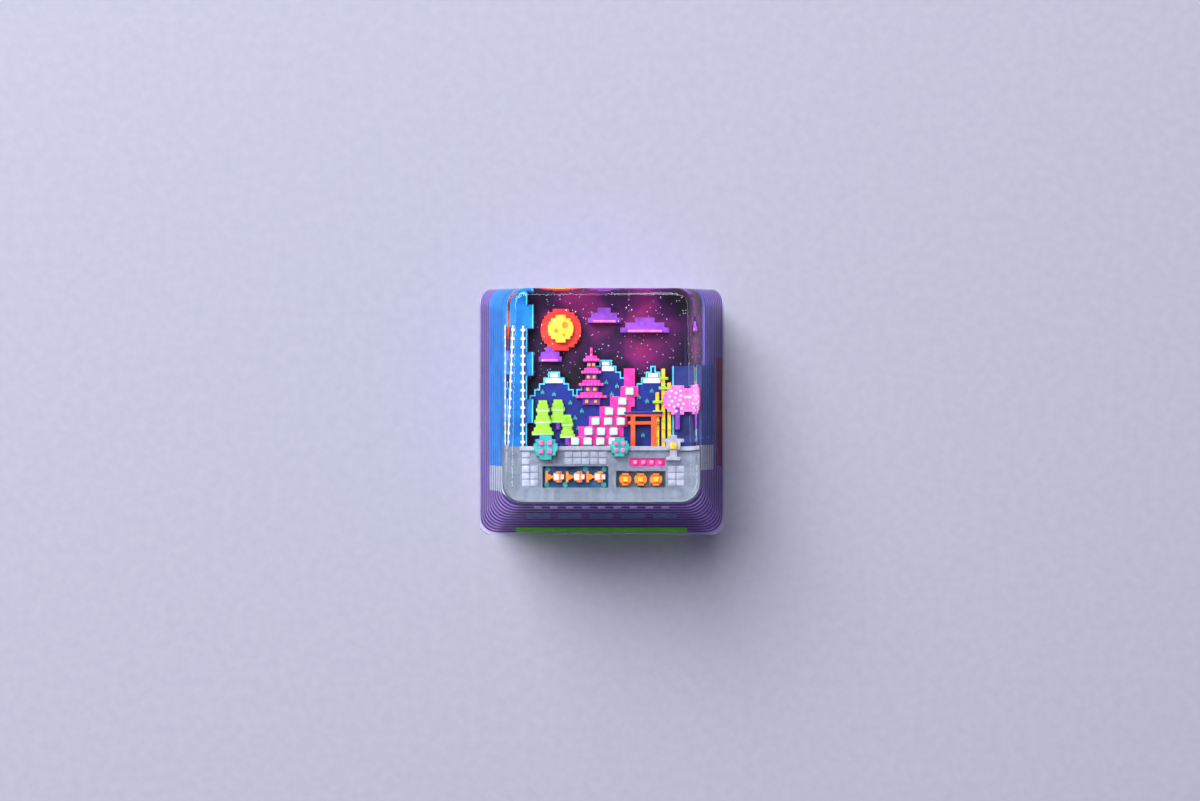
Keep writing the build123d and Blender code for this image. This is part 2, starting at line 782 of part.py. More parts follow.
# Write every piece
pieces = {
    "lime_strip": lime_strip,
    "plum_strip": plum_strip,
    "slate_panels": slate_panels,
    "pale_pegs": pale_pegs,
    "base_casting": base_casting,
    "stone_terrace": stone_terrace,
    "left_cliff": left_cliff,
    "right_cliff": right_cliff,
    "sky_block": sky_block,
    "mountains": mountains,
    "ridge_lines": ridge_lines,
    "cliff_lines": cliff_lines,
    "moon_rim": moon_rim,
    "moon_face": moon_face,
    "cloud_banks": cloud_banks,
    "cloud_edges": cloud_edges,
    "river": river,
    "stepping_stones": stepping_stones,
    "pine_trunks": pine_trunks,
    "pine_crowns": pine_crowns,
    "pagoda_walls": pagoda_walls,
    "pagoda_roofs": pagoda_roofs,
    "pagoda_windows": pagoda_windows,
    "gate": gate,
    "bamboo_canes": bamboo_canes,
    "bamboo_leaves": bamboo_leaves,
    "cherry_trunk": cherry_trunk,
    "cherry_crown": cherry_crown,
    "fence": fence,
    "coping": coping,
    "pond_water": pond_water,
    "koi": koi,
    "flower_bed": flower_bed,
    "bed_flowers": bed_flowers,
    "paper_lamps": paper_lamps,
    "lamp_glows": lamp_glows,
    "shrubs": shrubs,
    "blossoms": blossoms,
    "stone_lantern": stone_lantern,
    "lantern_flame": lantern_flame,
}

with BuildPart() as clear_casting:
    add(outer_form.part)
    clear_of(switch_hollow, *pieces.values())
pieces["clear_casting"] = clear_casting

os.makedirs("parts", exist_ok=True)
for name, piece in pieces.items():
    piece.part.label = name
    export_step(piece.part, f"parts/{name}.step")
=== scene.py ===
import math
import random
import bpy
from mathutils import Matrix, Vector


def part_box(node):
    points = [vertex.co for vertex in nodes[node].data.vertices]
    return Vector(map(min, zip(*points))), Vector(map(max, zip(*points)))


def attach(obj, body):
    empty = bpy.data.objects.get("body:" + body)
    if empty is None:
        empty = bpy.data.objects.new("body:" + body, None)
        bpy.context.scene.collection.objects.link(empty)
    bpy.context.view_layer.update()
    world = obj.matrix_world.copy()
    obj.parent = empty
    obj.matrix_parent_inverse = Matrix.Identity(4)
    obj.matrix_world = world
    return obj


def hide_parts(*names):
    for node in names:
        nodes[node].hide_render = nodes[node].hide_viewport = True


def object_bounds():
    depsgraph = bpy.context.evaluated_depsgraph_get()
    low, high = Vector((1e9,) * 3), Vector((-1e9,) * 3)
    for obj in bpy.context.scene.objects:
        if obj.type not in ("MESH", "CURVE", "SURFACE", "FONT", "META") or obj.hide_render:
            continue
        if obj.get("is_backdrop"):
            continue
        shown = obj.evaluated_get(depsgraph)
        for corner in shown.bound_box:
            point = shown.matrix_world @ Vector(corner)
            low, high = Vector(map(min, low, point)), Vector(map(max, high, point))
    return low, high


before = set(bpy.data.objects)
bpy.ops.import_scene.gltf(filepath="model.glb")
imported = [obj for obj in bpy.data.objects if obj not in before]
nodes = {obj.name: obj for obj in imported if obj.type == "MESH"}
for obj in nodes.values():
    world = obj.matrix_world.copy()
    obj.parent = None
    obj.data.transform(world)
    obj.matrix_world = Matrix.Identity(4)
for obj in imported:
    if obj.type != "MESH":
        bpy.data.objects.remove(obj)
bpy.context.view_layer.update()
mm = 0.001  # all sizes below are in millimetres
print("frame:", len(nodes), "CAD nodes")


def linearColour(hexText):
    # sRGB hex to linear RGBA
    parts = [int(hexText[i:i + 2], 16) / 255 for i in (0, 2, 4)]
    linear = [c / 12.92 if c <= 0.04045 else ((c + 0.055) / 1.055) ** 2.4 for c in parts]
    return (*linear, 1.0)


def addNode(tree, kind, values=None, links=None, stops=None, **settings):
    # one shader node: settings are its properties, values its inputs, links the outputs that feed it
    node = tree.nodes.new(kind)
    for name, value in settings.items():
        setattr(node, name, value)
    for name, value in (values or {}).items():
        node.inputs[name].default_value = value
    for name, source in (links or {}).items():
        tree.links.new(source, node.inputs[name])
    for index, (place, colour) in enumerate(stops or []):
        ramp = node.color_ramp.elements
        element = ramp[index] if index < 2 else ramp.new(place)  # a new ramp has two stops
        element.position = place
        element.color = linearColour(colour)
    return node


def newMaterial(name):
    # an empty node tree with its output and a shader
    material = bpy.data.materials.new(name)
    material.use_nodes = True
    tree = material.node_tree
    tree.nodes.clear()
    shader = addNode(tree, "ShaderNodeBsdfPrincipled")
    addNode(tree, "ShaderNodeOutputMaterial", links={"Surface": shader.outputs[0]})
    return material, tree, shader


def clearSelection():
    if bpy.context.object and bpy.context.object.mode != "OBJECT":
        bpy.ops.object.mode_set(mode="OBJECT")
    bpy.ops.object.select_all(action="DESELECT")


clearSelection()

# Clear casting: the polished outer skin, with a pocket on its underside that stays inside the violet base
skin = {
    "baseWidth": 18.1, "baseDepth": 18.1, "baseCorner": 0.9, "edgeBreak": 0.15,
    "topWidth": 12.75, "topDepth": 14.4, "topCorner": 1.3, "topShift": 1.65,
    "backHeight": 11.4, "topTilt": 5.0, "dishRadius": 45.0, "rimRounding": 0.6,
    "cornerSegments": 12, "sideSegments": 20, "roundingSegments": 10,
    "supportGap": 0.12,  # rings that hold the shading beside the rounded edge
    "topRings": (0.93, 0.8, 0.64, 0.48, 0.32, 0.17, 0.05),  # as shares of the ring at the rounded edge
    # pocket: width, front, back, corner and height of each ring from the mouth to its roof
    "pocket": [
        (16.818, -8.367, 8.547, 0.93, 0.0), (16.70, -8.30, 8.45, 0.9, 0.2),
        (15.20, -7.40, 7.60, 0.8, 2.9), (13.26, -6.63, 6.63, 0.7, 2.9),
        (12.80, -6.40, 6.40, 0.7, 5.0), (12.70, -6.35, 6.35, 0.7, 5.4),
    ],
    "smoothAngle": 30,
}


def outline(width, depth, shift, corner):
    # rounded rectangle as columns: x, y and outward direction of each
    columns = []
    for quarter, (sideX, sideY) in enumerate([(1, -1), (1, 1), (-1, 1), (-1, -1)]):
        middleX = sideX * (width / 2 - corner)
        middleY = shift + sideY * (depth / 2 - corner)
        for k in range(skin["cornerSegments"] + 1):
            turn = math.radians(90 * (quarter - 1 + k / skin["cornerSegments"]))
            outX = math.cos(turn)
            outY = math.sin(turn)
            columns.append((middleX + corner * outX, middleY + corner * outY, outX, outY))
        turn = math.radians(90 * quarter)
        outX = math.cos(turn)
        outY = math.sin(turn)
        length = (depth if quarter % 2 == 0 else width) - 2 * corner
        x, y = columns[-1][:2]
        for k in range(1, skin["sideSegments"]):
            run = length * k / skin["sideSegments"]
            columns.append((x - run * outY, y + run * outX, outX, outY))
    return columns


def dishHeight(x, y):
    # finger hollow: a cylinder along Y that falls towards the front
    radius = skin["dishRadius"]
    tilt = math.radians(skin["topTilt"])
    sag = radius - math.sqrt(radius ** 2 - (skin["topWidth"] / 2) ** 2)
    axis = skin["backHeight"] - sag + radius
    back = skin["topShift"] + skin["topDepth"] / 2
    return axis - math.sqrt(radius ** 2 - x * x) / math.cos(tilt) + (y - back) * math.tan(tilt)


def roundedEdge(low, high):
    # points of one column from the wall over the rounded edge onto the top
    lowX, lowY, outX, outY = low
    highX, highY = high[:2]
    rise = skin["backHeight"] - skin["edgeBreak"]
    share = 0.9  # first guess at where the wall meets the top
    rounds = 40  # each brings it closer
    for _ in range(rounds):
        x = lowX + (highX - lowX) * share
        y = lowY + (highY - lowY) * share
        share = (dishHeight(x, y) - skin["edgeBreak"]) / rise
    z = dishHeight(x, y)
    wall = math.atan2(rise, (lowX - highX) * outX + (lowY - highY) * outY)  # climb of the wall to the middle
    probe = 0.01
    top = math.atan2(dishHeight(x - outX * probe, y - outY * probe) - z, probe)  # climb of the top
    radius = skin["rimRounding"]
    tangent = radius / math.tan((math.pi - (wall - top)) / 2)

    def onWall(distance):
        # point of the wall, measured upwards from the sharp edge
        up = distance * math.sin(wall)
        share = up / rise
        return x + (highX - lowX) * share, y + (highY - lowY) * share, z + up

    startX, startY, startZ = onWall(-tangent)
    endX = x - outX * (tangent * math.cos(top))
    endY = y - outY * (tangent * math.cos(top))
    # at a corner the wall leans off its outward direction, so the arc is drawn out to end on the top
    arc = math.sin(wall) - math.sin(top)
    missX = endX - (startX - outX * radius * arc)
    missY = endY - (startY - outY * radius * arc)
    points = [onWall(-tangent - skin["supportGap"])]
    count = skin["roundingSegments"]
    for k in range(count + 1):
        climb = wall - (wall - top) * k / count
        run = radius * (math.sin(wall) - math.sin(climb))
        up = radius * (math.cos(climb) - math.cos(wall))
        done = k / count
        points.append((startX - outX * run + missX * done, startY - outY * run + missY * done, startZ + up))
    innerX = endX - outX * skin["supportGap"]
    innerY = endY - outY * skin["supportGap"]
    points.append((innerX, innerY, dishHeight(innerX, innerY)))
    return points


def roundedPlace(vertex):
    # an extruded vertex is matched to the one it came from by its place, to a ten-thousandth of a millimetre
    return tuple(round(c, 7) for c in vertex.co)


def placeRing(piece, ring, points):
    # extrudes the selected ring and sets the new one on the given points
    bpy.ops.object.mode_set(mode="EDIT")
    bpy.ops.mesh.extrude_region_move()
    bpy.ops.object.mode_set(mode="OBJECT")
    vertices = piece.data.vertices
    column = {roundedPlace(vertices[i]): k for k, i in enumerate(ring)}
    fresh = [0] * len(ring)
    for vertex in vertices:
        if vertex.select:
            fresh[column[roundedPlace(vertex)]] = vertex.index
    for index, point in zip(fresh, points):
        vertices[index].co = [c * mm for c in point]
    return fresh


def makeSkin():
    low = outline(skin["baseWidth"], skin["baseDepth"], 0, skin["baseCorner"])
    high = outline(skin["topWidth"], skin["topDepth"], skin["topShift"], skin["topCorner"])
    bpy.ops.mesh.primitive_circle_add(vertices=len(low), radius=skin["baseWidth"] / 2 * mm)
    piece = bpy.context.object
    piece.name = piece.data.name = "clear_skin"
    first = list(range(len(low)))
    for index, (x, y, outX, outY) in enumerate(low):
        piece.data.vertices[index].co = (x * mm, y * mm, skin["edgeBreak"] * mm)
    # up the wall, over the rounded edge and across the top to its middle
    edges = [roundedEdge(a, b) for a, b in zip(low, high)]
    ring = first
    for k in range(len(edges[0])):
        ring = placeRing(piece, ring, [edge[k] for edge in edges])
    middle = skin["topShift"]
    for share in skin["topRings"]:
        plan = [(edge[-1][0] * share, middle + (edge[-1][1] - middle) * share) for edge in edges]
        ring = placeRing(piece, ring, [(x, y, dishHeight(x, y)) for x, y in plan])
    bpy.ops.object.mode_set(mode="EDIT")
    bpy.ops.mesh.edge_face_add()
    bpy.ops.mesh.select_all(action="DESELECT")
    bpy.ops.object.mode_set(mode="OBJECT")
    # down over the broken edge, across the rim and up the pocket
    for index in first:
        piece.data.vertices[index].select = True
    for edge in piece.data.edges:
        edge.select = all(v < len(first) for v in edge.vertices)
    rim = outline(
        skin["baseWidth"] - 2 * skin["edgeBreak"], skin["baseDepth"] - 2 * skin["edgeBreak"], 0,
        skin["baseCorner"] - skin["edgeBreak"],
    )
    ring = placeRing(piece, first, [(x, y, 0) for x, y, outX, outY in rim])
    for width, front, back, corner, height in skin["pocket"]:
        columns = outline(width, back - front, (front + back) / 2, corner)
        ring = placeRing(piece, ring, [(x, y, height) for x, y, outX, outY in columns])
    bpy.ops.object.mode_set(mode="EDIT")
    bpy.ops.mesh.edge_face_add()
    bpy.ops.mesh.select_all(action="SELECT")
    bpy.ops.mesh.normals_make_consistent(inside=False)
    bpy.ops.object.mode_set(mode="OBJECT")
    bpy.ops.object.shade_smooth_by_angle(angle=math.radians(skin["smoothAngle"]))
    return piece


clearSkin = makeSkin()
clearSkin.visible_shadow = False  # lamp light reaches the core through the casting
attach(clearSkin, "root")
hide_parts("clear_casting")
print("clear casting:", len(clearSkin.data.polygons), "faces")

# Polished clear epoxy resin: hard gloss, bends what lies behind it, a trace of violet in the thick.
# Its walls are seen at a glancing angle, so their mirror share is held down, as a polarising filter does
clearResin = {
    "colour": "F6F3FC", "ior": 1.5, "roughness": 0.02, "mirrorPower": 2.2, "mirrorLeast": 0.03,
    "waveSize": 2.2, "waveDetail": 1.0, "waveHeight": 0.0006,
}
material, tree, shader = newMaterial("clearEpoxyPolished")
tree.nodes.remove(shader)
place = addNode(tree, "ShaderNodeTexCoord").outputs["Object"]
wave = addNode(
    tree, "ShaderNodeTexNoise",
    {"Scale": 1 / (clearResin["waveSize"] * mm), "Detail": clearResin["waveDetail"]}, {"Vector": place},
)
bump = addNode(
    tree, "ShaderNodeBump", {"Strength": 1.0, "Distance": clearResin["waveHeight"] * mm},
    {"Height": wave.outputs["Fac"]},
).outputs[0]
glance = addNode(tree, "ShaderNodeFresnel", {"IOR": clearResin["ior"]}, {"Normal": bump})
held = addNode(
    tree, "ShaderNodeMath", {1: clearResin["mirrorPower"]}, {0: glance.outputs[0]}, operation="POWER"
)
share = addNode(
    tree, "ShaderNodeMath", {1: clearResin["mirrorLeast"]}, {0: held.outputs[0]},
    operation="ADD", use_clamp=True,
)
bend = addNode(
    tree, "ShaderNodeBsdfRefraction",
    {
        "Color": linearColour(clearResin["colour"]), "Roughness": clearResin["roughness"],
        "IOR": clearResin["ior"],
    },
    {"Normal": bump},
)
mirror = addNode(tree, "ShaderNodeBsdfGlossy", {"Roughness": clearResin["roughness"]}, {"Normal": bump})
mixed = addNode(
    tree, "ShaderNodeMixShader", links={0: share.outputs[0], 1: bend.outputs[0], 2: mirror.outputs[0]}
)
tree.links.new(mixed.outputs[0], tree.nodes["Material Output"].inputs["Surface"])
clearSkin.data.materials.append(material)

# Pigmented epoxy, cast in thin layers: colour drifts a little, with fine pigment grain and a soft gloss.
# Each: colour where the pigment is thick, colour where it is thin, drift size, roughness, CAD nodes
pigments = {
    "violet_resin": ("3B2568", "5E3F90", 1.6, 0.3, ["base_casting"]),
    "lime_resin": ("56DC10", "86F62A", 1.0, 0.35, ["lime_strip"]),
    "plum_resin": ("6A1038", "8E2450", 1.0, 0.35, ["plum_strip"]),
    "slate_resin": ("62759C", "8296BC", 0.7, 0.4, ["slate_panels"]),
    "pale_violet_resin": ("B9B2D8", "DAD6EE", 0.7, 0.4, ["pale_pegs"]),
    "grey_resin": ("65757E", "83939C", 0.8, 0.45, ["stone_terrace"]),
    "blue_resin": ("0462A8", "0F86CC", 1.4, 0.35, ["left_cliff"]),
    "indigo_resin": ("16265F", "283A82", 1.2, 0.35, ["right_cliff"]),
    "night_resin": ("4A3E96", "6A5AB4", 5.0, 0.3, ["sky_block"]),
    "navy_resin": ("08186A", "0E3096", 1.2, 0.35, ["mountains"]),
    "cyan_resin": ("2CCBEA", "62E4F6", 0.5, 0.35, ["ridge_lines", "cliff_lines"]),
    "red_resin": ("D61E1E", "EE3A26", 0.8, 0.4, ["moon_rim"]),
    "yellow_resin": (
        "F4B51E", "FFD648", 0.6, 0.4,
        ["moon_face", "pagoda_windows", "bamboo_canes", "lamp_glows", "lantern_flame"],
    ),
    "purple_resin": (
        "6A2C9C", "8E46BE", 0.8, 0.4, ["cloud_banks", "pagoda_walls", "pine_trunks", "cherry_trunk"],
    ),
    "pink_resin": (
        "F25AAE", "FF8CC8", 0.6, 0.4, ["cloud_edges", "cherry_crown", "blossoms", "bed_flowers"],
    ),
    "magenta_resin": ("E4188C", "FF46AE", 0.9, 0.35, ["river", "pagoda_roofs", "flower_bed"]),
    "mint_resin": ("BDEBDD", "DAF8EE", 0.6, 0.4, ["stepping_stones"]),
    "leaf_green_resin": ("7CC420", "A2E03A", 0.5, 0.4, ["pine_crowns", "bamboo_leaves"]),
    "vermilion_resin": ("EA4A16", "FA6A2C", 0.6, 0.4, ["gate"]),
    "white_resin": ("E6E6EF", "FAFAFF", 0.6, 0.4, ["fence"]),
    "pale_grey_resin": ("8F9AA4", "ABB5BE", 0.6, 0.45, ["coping", "stone_lantern"]),
    "orange_resin": ("F27C18", "FF9C34", 0.5, 0.4, ["koi", "paper_lamps"]),
    "teal_resin": ("1E9C90", "46C4B6", 0.6, 0.4, ["shrubs"]),
    "slate_water": ("24486C", "3C6C94", 0.8, 0.2, ["pond_water"]),
}
# What all of them share: where the drift's two colours stand, how it curls, the grain and the gloss
casting = {
    "thickAt": 0.32, "thinAt": 0.7, "driftDetail": 3.0, "curl": 0.8,
    "grainSize": 0.09, "grainDetail": 2.0, "grainDepth": 0.12, "grainHeight": 0.004, "grainStrength": 0.5,
    "specular": 0.25,
}
# Painted highlights: pale lines along the edges of the core's steps, where the treads catch the light
steps = {
    "pitch": 0.62, "width": 0.09,
    "from": 0.3,  # none on the rim
    "outside": 7.6, "lean": 0.235,  # none in the hollow: only this far out, less the lean for each mm up
    # colour of the painted highlight, and the height where the lines stop
    "lines": {
        "violet_resin": ("9C86C2", 7.3), "grey_resin": ("D8E0EA", 7.9), "blue_resin": ("3A96DC", 7.3),
        "indigo_resin": ("5A78C8", 7.3), "night_resin": ("8A7CC0", 6.1),
    },
}
# Night sky: near black, with a magenta haze and fine glitter in it
night = {
    "haze": [(0.40, "0A0414"), (0.52, "2E083C"), (0.62, "641054"), (0.74, "901A5E")], "curl": 0.5,
    # colour, spacing and size of each kind of star, and the share of places that have one
    "stars": [("F4F0FF", 0.24, 0.065), ("FF8AD0", 0.34, 0.065), ("8AB8FF", 0.42, 0.065)],
    "starShare": 0.42,
    # plain pigment below this height, and at the right from where the picture ends
    "sideTop": 6.12, "pictureEnds": (6.1, 6.4),
}


def paintedStepHighlights(tree, place, colour, slot):
    # lays the painted step-edge highlights, pale lines, over a colour; a Mix node takes its two colours in
    # sockets 6 and 7
    highlightColour, stop = steps["lines"][slot]
    parted = addNode(tree, "ShaderNodeSeparateXYZ", links={0: place})
    height = parted.outputs["Z"]
    acrossX = addNode(tree, "ShaderNodeMath", links={0: parted.outputs["X"]}, operation="ABSOLUTE")
    acrossY = addNode(tree, "ShaderNodeMath", links={0: parted.outputs["Y"]}, operation="ABSOLUTE")
    across = addNode(
        tree, "ShaderNodeMath", links={0: acrossX.outputs[0], 1: acrossY.outputs[0]}, operation="MAXIMUM"
    )
    leaned = addNode(
        tree, "ShaderNodeMath", {1: steps["lean"]}, {0: height, 2: across.outputs[0]},
        operation="MULTIPLY_ADD",
    )
    outside = addNode(
        tree, "ShaderNodeMath", {1: steps["outside"] * mm}, {0: leaned.outputs[0]}, operation="GREATER_THAN"
    )
    above = addNode(tree, "ShaderNodeMath", {1: steps["from"] * mm}, {0: height}, operation="GREATER_THAN")
    below = addNode(tree, "ShaderNodeMath", {1: stop * mm}, {0: height}, operation="LESS_THAN")
    lineShare = steps["width"] / steps["pitch"]
    counted = addNode(
        tree, "ShaderNodeMath", {1: 1 / (steps["pitch"] * mm), 2: steps["width"] / 2 / steps["pitch"]},
        {0: height}, operation="MULTIPLY_ADD",
    )
    passed = addNode(tree, "ShaderNodeMath", links={0: counted.outputs[0]}, operation="FRACT")
    line = addNode(tree, "ShaderNodeMath", {1: lineShare}, {0: passed.outputs[0]}, operation="LESS_THAN")
    for limit in (below, above, outside):
        line = addNode(
            tree, "ShaderNodeMath", links={0: line.outputs[0], 1: limit.outputs[0]}, operation="MULTIPLY"
        )
    return addNode(
        tree, "ShaderNodeMix", {7: linearColour(highlightColour)}, {0: line.outputs[0], 6: colour},
        data_type="RGBA",
    ).outputs[2]


def nightSky(tree, place, drift, plainColour):
    # haze in drifts, then three kinds of stars, then the plain sides
    colour = addNode(tree, "ShaderNodeValToRGB", links={"Fac": drift}, stops=night["haze"]).outputs[0]
    for starColour, spacing, size in night["stars"]:
        cells = addNode(tree, "ShaderNodeTexVoronoi", {"Scale": 1 / (spacing * mm)}, {"Vector": place})
        middle = addNode(
            tree, "ShaderNodeMath", {1: size / spacing / 2}, {0: cells.outputs["Distance"]},
            operation="LESS_THAN",
        )
        pick = addNode(tree, "ShaderNodeSeparateColor", links={0: cells.outputs["Color"]})
        kept = addNode(
            tree, "ShaderNodeMath", {1: night["starShare"]}, {0: pick.outputs[0]}, operation="LESS_THAN"
        )
        star = addNode(
            tree, "ShaderNodeMath", links={0: middle.outputs[0], 1: kept.outputs[0]}, operation="MULTIPLY"
        )
        colour = addNode(
            tree, "ShaderNodeMix", {7: linearColour(starColour)}, {0: star.outputs[0], 6: colour},
            data_type="RGBA",
        ).outputs[2]
    parted = addNode(tree, "ShaderNodeSeparateXYZ", links={0: place})
    below = addNode(
        tree, "ShaderNodeMath", {1: night["sideTop"] * mm}, {0: parted.outputs["Z"]}, operation="LESS_THAN"
    )
    start, end = night["pictureEnds"]
    beyond = addNode(
        tree, "ShaderNodeMapRange", {"From Min": start * mm, "From Max": end * mm},
        {"Value": parted.outputs["X"]},
    )
    plain = addNode(
        tree, "ShaderNodeMath", links={0: below.outputs[0], 1: beyond.outputs[0]}, operation="MAXIMUM"
    )
    return addNode(
        tree, "ShaderNodeMix", links={0: plain.outputs[0], 6: colour, 7: plainColour}, data_type="RGBA"
    ).outputs[2]


for slot, (thick, thin, driftSize, roughness, names) in pigments.items():
    material, tree, shader = newMaterial("castEpoxy_" + slot)
    place = addNode(tree, "ShaderNodeTexCoord").outputs["Object"]
    isNight = slot == "night_resin"
    drift = addNode(
        tree, "ShaderNodeTexNoise",
        {
            "Scale": 1 / (driftSize * mm), "Detail": casting["driftDetail"],
            "Distortion": night["curl"] if isNight else casting["curl"],
        },
        {"Vector": place},
    ).outputs["Fac"]
    colour = addNode(
        tree, "ShaderNodeValToRGB", links={"Fac": drift},
        stops=[(casting["thickAt"], thick), (casting["thinAt"], thin)],
    ).outputs[0]
    if isNight:
        colour = nightSky(tree, place, drift, colour)
    # painted highlights: pale lines along the step edges, standing in for the lit treads
    if slot in steps["lines"]:
        colour = paintedStepHighlights(tree, place, colour, slot)
    speck = addNode(
        tree, "ShaderNodeTexNoise",
        {"Scale": 1 / (casting["grainSize"] * mm), "Detail": casting["grainDetail"]}, {"Vector": place},
    ).outputs["Fac"]
    tone = addNode(
        tree, "ShaderNodeMapRange",
        {"To Min": 1 - casting["grainDepth"], "To Max": 1 + casting["grainDepth"]}, {"Value": speck},
    )
    grained = addNode(
        tree, "ShaderNodeMix", {0: 1.0}, {6: colour, 7: tone.outputs[0]},
        data_type="RGBA", blend_type="MULTIPLY",
    )
    bump = addNode(
        tree, "ShaderNodeBump",
        {"Strength": casting["grainStrength"], "Distance": casting["grainHeight"] * mm}, {"Height": speck},
    )
    shader.inputs["Roughness"].default_value = roughness
    shader.inputs["Specular IOR Level"].default_value = casting["specular"]
    tree.links.new(grained.outputs[2], shader.inputs["Base Color"])
    tree.links.new(bump.outputs[0], shader.inputs["Normal"])
    for name in names:
        nodes[name].data.materials.clear()
        nodes[name].data.materials.append(material)
print("materials:", len(bpy.data.materials))

# Cast edges: every relief piece comes out of its mould with a small radius
castEdges = {
    "merge": 0.0005, "flatAngle": 1, "cornerAngle": 40, "segments": 2,
    "radii": {
        0.10: ["stepping_stones"],
        0.07: ["cloud_banks", "bamboo_canes"],
        0.05: [
            "koi", "paper_lamps", "lamp_glows", "shrubs", "blossoms", "pine_crowns", "gate", "cherry_crown",
            "cherry_trunk", "moon_rim", "moon_face", "cloud_edges", "coping", "stone_lantern",
            "bamboo_leaves", "bed_flowers", "lantern_flame", "pine_trunks", "pagoda_roofs", "pagoda_walls",
            "mountains", "river",
        ],
        0.03: ["fence", "pagoda_windows", "ridge_lines", "cliff_lines"],
    },
}
for radius, names in castEdges["radii"].items():
    for name in names:
        weld = nodes[name].modifiers.new("weld", "WELD")
        weld.merge_threshold = castEdges["merge"] * mm
        flat = nodes[name].modifiers.new("flat", "DECIMATE")
        flat.decimate_type = "DISSOLVE"
        flat.angle_limit = math.radians(castEdges["flatAngle"])
        edge = nodes[name].modifiers.new("castEdge", "BEVEL")
        edge.width = radius * mm
        edge.segments = castEdges["segments"]
        edge.limit_method = "ANGLE"
        edge.angle_limit = math.radians(castEdges["cornerAngle"])
print("cast edges:", sum(len(names) for names in castEdges["radii"].values()), "pieces")

# Small details, laid on the relief
sink = 0.02  # each is set this far into what carries it
smoothAngle = 35


def boxOf(name):
    # low and high corner of a CAD node
    low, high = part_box(name)
    return [c / mm for c in low], [c / mm for c in high]


def middleOf(name):
    # x and y of a CAD node's middle, and the height at which details are laid on it
    low, high = boxOf(name)
    return (low[0] + high[0]) / 2, (low[1] + high[1]) / 2, high[2] - sink


def block(width, depth, height, edge):
    # a small cast block round the origin: a square drawn out, raised and its edges rounded
    clearSelection()
    bpy.ops.mesh.primitive_plane_add(size=mm)
    piece = bpy.context.object
    bpy.ops.object.mode_set(mode="EDIT")
    bpy.ops.transform.resize(value=(width, depth, 1))
    bpy.ops.mesh.extrude_region_move(TRANSFORM_OT_translate={"value": (0, 0, height * mm)})
    bpy.ops.mesh.select_all(action="SELECT")
    bpy.ops.mesh.normals_make_consistent(inside=False)
    bpy.ops.mesh.bevel(offset=edge * mm, segments=2)
    bpy.ops.object.mode_set(mode="OBJECT")
    return piece


def disc(sides, radius, height, edge):
    # a small cast disc round the origin: a ring filled, raised and its edges rounded
    clearSelection()
    bpy.ops.mesh.primitive_circle_add(vertices=sides, radius=radius * mm, fill_type="NGON")
    piece = bpy.context.object
    bpy.ops.object.mode_set(mode="EDIT")
    bpy.ops.mesh.extrude_region_move(TRANSFORM_OT_translate={"value": (0, 0, height * mm)})
    bpy.ops.mesh.select_all(action="SELECT")
    bpy.ops.mesh.normals_make_consistent(inside=False)
    bpy.ops.mesh.bevel(offset=edge * mm, segments=1)
    bpy.ops.object.mode_set(mode="OBJECT")
    return piece


def lay(name, groups, slot):
    # copies each modelled block to its places, with its place in its own mesh, and joins them as one piece
    laid = []
    for source, places in groups:
        for x, y, z, *turn in places:
            clearSelection()
            source.select_set(True)
            bpy.context.view_layer.objects.active = source
            bpy.ops.object.duplicate()
            copy = bpy.context.object
            copy.location = (x * mm, y * mm, z * mm)
            copy.rotation_euler = turn[0] if turn else (0, 0, 0)
            bpy.ops.object.transform_apply(location=True, rotation=True, scale=True)
            laid.append(copy)
        clearSelection()
        source.select_set(True)
        bpy.ops.object.delete()
    clearSelection()
    for copy in laid:
        copy.select_set(True)
    piece = laid[0]
    bpy.context.view_layer.objects.active = piece
    bpy.ops.object.join()
    piece.name = piece.data.name = name
    bpy.ops.object.shade_smooth_by_angle(angle=math.radians(smoothAngle))
    piece.data.materials.clear()
    piece.data.materials.append(bpy.data.materials["castEpoxy_" + slot])
    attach(piece, "root")
    print("laid:", name, len(laid))


# Below, a block is width, depth, height and edge radius, and a disc is sides, radius, height and edge.
# Bamboo: raised knots along each cane
bamboo = {
    "canes": [(4.98, 4.6), (4.54, 5.6), (4.10, 3.9)],  # place and length
    "pitch": 0.62, "knot": (0.32, 0.08, 0.09, 0.03),
}
low, high = boxOf("bamboo_canes")
knots = []
for x, length in bamboo["canes"]:
    for k in range(1, int(length / bamboo["pitch"])):
        knots.append((x, low[1] + k * bamboo["pitch"], high[2] - sink))
lay("bamboo_knots", [(block(*bamboo["knot"]), knots)], "leaf_green_resin")

# Koi: white patches on the back and dark eyes
koi = {
    "pitch": 1.5, "saddle": (0.34, 0.42, 0.08, 0.03), "saddleAt": 0.1,
    "head": (0.2, 0.3, 0.08, 0.03), "headAt": 0.55,
    "eye": (8, 0.05, 0.08, 0.012), "eyeAt": 0.38, "eyeAside": 0.27,
}
pondX, pondY, koiTop = middleOf("koi")
fish = [pondX + k * koi["pitch"] for k in (-1, 0, 1)]
lay("koi_patches", [
    (block(*koi["saddle"]), [(x + koi["saddleAt"], pondY, koiTop) for x in fish]),
    (block(*koi["head"]), [(x + koi["headAt"], pondY, koiTop) for x in fish]),
], "white_resin")
lay("koi_eyes", [
    (disc(*koi["eye"]), [
        (x + koi["eyeAt"], pondY + side * koi["eyeAside"], koiTop) for x in fish for side in (-1, 1)
    ]),
], "navy_resin")

# Lily pads at the pond's edges
pads = {
    "pad": (12, 0.2, 0.1, 0.02),
    "places": [(-2.05, 0.56), (-0.75, -0.57), (0.72, 0.57), (2.05, -0.55), (-2.1, -0.56), (2.1, 0.56)],
}
waterTop = middleOf("pond_water")[2]
lay("lily_pads", [
    (disc(*pads["pad"]), [(pondX + x, pondY + y, waterTop) for x, y in pads["places"]]),
], "teal_resin")

